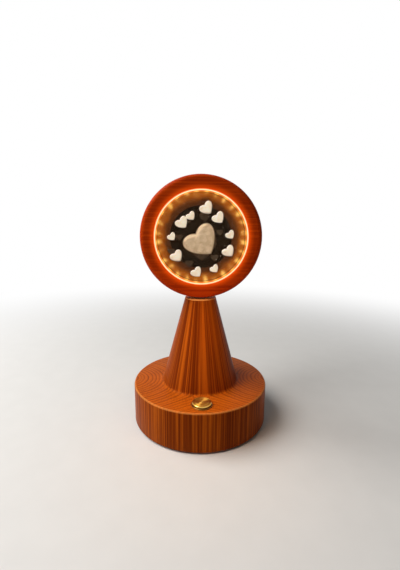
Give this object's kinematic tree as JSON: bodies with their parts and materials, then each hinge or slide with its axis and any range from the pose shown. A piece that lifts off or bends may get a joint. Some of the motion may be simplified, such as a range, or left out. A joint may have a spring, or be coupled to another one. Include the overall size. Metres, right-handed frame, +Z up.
{
  "type": "crystal night light",
  "caption": "Table night light: round wooden base and cone stem, swivelling wooden ring round an edge-lit crystal disc, brass push-button switch.",
  "frame": {"origin": "centre of the base on the surface that the rubber feet stand on", "axes": "+Z up along the stem, -Y towards the push-button and the front of the crystal, +X to the right seen from the front"},
  "size_m": [0.128, 0.128, 0.2297],
  "materials": {
    "turned_wood": "turned hardwood, reddish brown, satin lacquer, grain running up the stem",
    "ring_wood": "turned hardwood, redder brown, satin lacquer, grain running across the ring",
    "button_brass": "turned brass, circular brushed top, polished bevel",
    "plain_brass": "plain machined brass",
    "screw_steel": "zinc-plated steel",
    "socket_steel": "drawn steel socket shell",
    "black_plastic": "fine matt moulded black plastic",
    "foot_rubber": "black rubber",
    "neck_nylon": "dark nylon friction washer",
    "circuit_board": "green solder mask",
    "battery_foil": "foil pouch of a flat rechargeable cell",
    "foam_tape": "double-sided foam tape",
    "lead_sheath": "soft black sheath of a two-core lead",
    "crystal_glass": "clear polished optical crystal",
    "light_diffuser": "frosted translucent ring, lit warm from behind",
    "light_strip": "white flexible light strip with warm LEDs",
    "amber_reflector": "metallised amber reflector"
  },
  "bodies": {
    "base": {"turned_wood_body": "turned_wood", "bottom_cover": "black_plastic", "foot_1": "foot_rubber", "foot_2": "foot_rubber", "foot_3": "foot_rubber", "foot_4": "foot_rubber", "cover_screw_1": "screw_steel", "cover_screw_2": "screw_steel", "cover_screw_3": "screw_steel", "cover_screw_4": "screw_steel", "circuit_board": "circuit_board", "board_screw_1": "screw_steel", "board_screw_2": "screw_steel", "usb_socket": "socket_steel", "port_plate": "black_plastic", "battery_cell": "battery_foil", "battery_pad": "foam_tape", "battery_lead": "lead_sheath", "button_lead": "lead_sheath", "stem_lead": "lead_sheath", "button_barrel": "button_brass", "button_gasket": "foot_rubber", "button_nut": "plain_brass", "button_switch": "black_plastic", "stem_bush": "plain_brass", "neck_washer": "neck_nylon", "stop_pin": "screw_steel"},
    "button": {"button_cap": "button_brass", "button_clip": "screw_steel", "button_spring": "screw_steel"},
    "head": {"swivel_tube": "plain_brass", "stop_washer": "screw_steel", "swivel_locknut": "plain_brass", "head_ring": "ring_wood", "back_cover": "black_plastic", "back_screw_1": "screw_steel", "back_screw_2": "screw_steel", "back_screw_3": "screw_steel", "back_screw_4": "screw_steel", "crystal": "crystal_glass", "diffuser_ring": "light_diffuser", "led_strip": "light_strip", "backing_disc": "black_plastic", "reflector_ring": "amber_reflector"}
  },
  "joints": [
    {"name": "head_swivel", "type": "hinge", "parent": "base", "child": "head", "pos_m": [0, 0, 0.1193], "axis": [0, 0, 1], "range_deg": [-165, 165]},
    {"name": "button_press", "type": "slide", "parent": "base", "child": "button", "axis": [0, 0, -1], "range_m": [0, 0.0005], "stiffness_N_per_m": 900, "deforming": ["button_spring"]}
  ]
}
